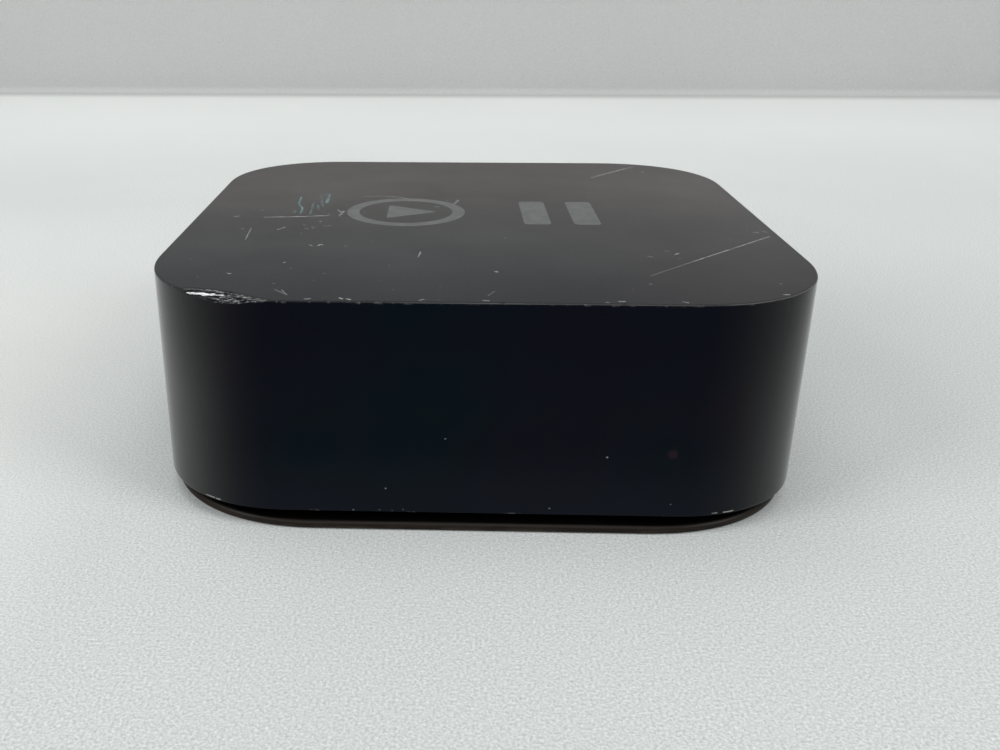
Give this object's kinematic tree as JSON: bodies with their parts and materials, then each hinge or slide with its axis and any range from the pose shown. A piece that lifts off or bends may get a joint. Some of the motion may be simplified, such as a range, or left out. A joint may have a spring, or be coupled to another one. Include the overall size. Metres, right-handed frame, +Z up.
{
  "type": "streaming media player",
  "caption": "Square set-top streaming player with soft corners, gloss black sides, satin top, a recessed vented foot, rear sockets and a fan-cooled interior.",
  "frame": {"origin": "centre of the base, on the surface that the box stands on", "axes": "+Z up, front face towards -Y, sockets towards +Y, +X to the right when seen from the front"},
  "size_m": [0.098, 0.098, 0.035],
  "materials": {
    "gloss_case": "high-gloss black sides and satin dark grey top, lightly scratched",
    "base_plastic": "fine-textured matt black moulding",
    "foot_plastic": "satin dark brown-black moulding, worn along the edge",
    "foot_rubber": "soft matt rubber ring",
    "fan_plastic": "glass-filled moulding with fine grain",
    "bright_sheet": "thin plated sheet with faint rolling lines",
    "bronze": "porous sintered bronze",
    "laminations": "stacked laminations, dull",
    "copper_wire": "enamelled copper wire, tightly wound",
    "polished_steel": "ground and polished",
    "impeller_plastic": "satin black moulding",
    "ferrite": "dark sintered ferrite",
    "grommet_rubber": "soft black rubber",
    "plated_screw": "zinc-plated steel",
    "lead_jacket": "satin cable jacket",
    "cast_aluminium": "bead-blasted die casting",
    "pad": "soft grey-blue gap filler",
    "green_board": "solder mask over copper tracks",
    "chip_metal": "nickel-plated lid on a dark carrier",
    "chip_black": "moulded epoxy packages",
    "capacitor_tan": "fired ceramic with tinned ends",
    "tinned_can": "tin-plated can",
    "ivory_plastic": "ivory nylon",
    "plated_shell": "nickel-plated sheet",
    "socket_plastic": "black moulded insert",
    "gold_contacts": "gold-flashed springs",
    "inlet_plastic": "black moulded inlet, satin",
    "nickel_pins": "nickel-plated brass",
    "brass_posts": "turned brass",
    "amber_board": "single-sided amber laminate",
    "insulator_sheet": "milky insulating sheet",
    "winding_tape": "yellow tape over wire",
    "capacitor_sleeve": "shrink sleeve over an aluminium can",
    "choke": "copper turns on a green-grey toroid",
    "fuse": "ceramic tube with plated caps",
    "film_capacitor": "yellow boxed film capacitor",
    "lens_dark": "dark infrared-pass lens",
    "led_body": "milky lamp body",
    "clear_pipe": "clear moulded rod",
    "amber_film": "amber film over copper tracks",
    "antenna_gold": "printed copper strip on a carrier"
  },
  "bodies": {
    "chassis": {"upper_case": "gloss_case", "base_cover": "base_plastic", "foot_plate": "foot_plastic", "foot_ring": "foot_rubber", "fan_housing": "fan_plastic", "fan_lid": "bright_sheet", "fan_bearing": "bronze", "fan_stator_core": "laminations", "fan_coils": "copper_wire", "fan_grommets": "grommet_rubber", "fan_screws": "plated_screw", "fan_cable": "lead_jacket", "heat_spreader": "cast_aluminium", "thermal_pad": "pad", "spreader_screws": "plated_screw", "logic_board": "green_board", "main_processor": "chip_metal", "memory_chips": "chip_black", "controller_chips": "chip_black", "board_inductors": "ferrite", "board_capacitors": "capacitor_tan", "wireless_module": "tinned_can", "board_shield": "tinned_can", "board_connectors": "ivory_plastic", "hdmi_shell": "plated_shell", "hdmi_tongue": "socket_plastic", "hdmi_contacts": "gold_contacts", "ethernet_shell": "plated_shell", "ethernet_insert": "socket_plastic", "ethernet_contacts": "gold_contacts", "inlet_housing": "inlet_plastic", "inlet_pins": "nickel_pins", "power_posts": "brass_posts", "stack_screws": "plated_screw", "psu_board": "amber_board", "psu_insulator": "insulator_sheet", "transformer_core": "ferrite", "transformer_winding": "winding_tape", "bulk_capacitors": "capacitor_sleeve", "line_choke": "choke", "line_fuse": "fuse", "line_capacitors": "film_capacitor", "bridge_rectifier": "chip_black", "switching_transistor": "chip_black", "output_inductor": "ferrite", "output_capacitors": "capacitor_sleeve", "sensor_board": "green_board", "infrared_receiver": "lens_dark", "status_led": "led_body", "light_pipe": "clear_pipe", "sensor_flex": "amber_film", "left_antenna": "antenna_gold", "right_antenna": "antenna_gold", "antenna_leads": "lead_jacket"},
    "fan_rotor": {"fan_shaft": "polished_steel", "fan_impeller": "impeller_plastic", "fan_magnet": "ferrite"}
  },
  "joints": [
    {"name": "fan_spin", "type": "hinge", "parent": "chassis", "child": "fan_rotor", "pos_m": [0, -0.01, 0.009], "axis": [0, 0, 1], "continuous": true}
  ]
}
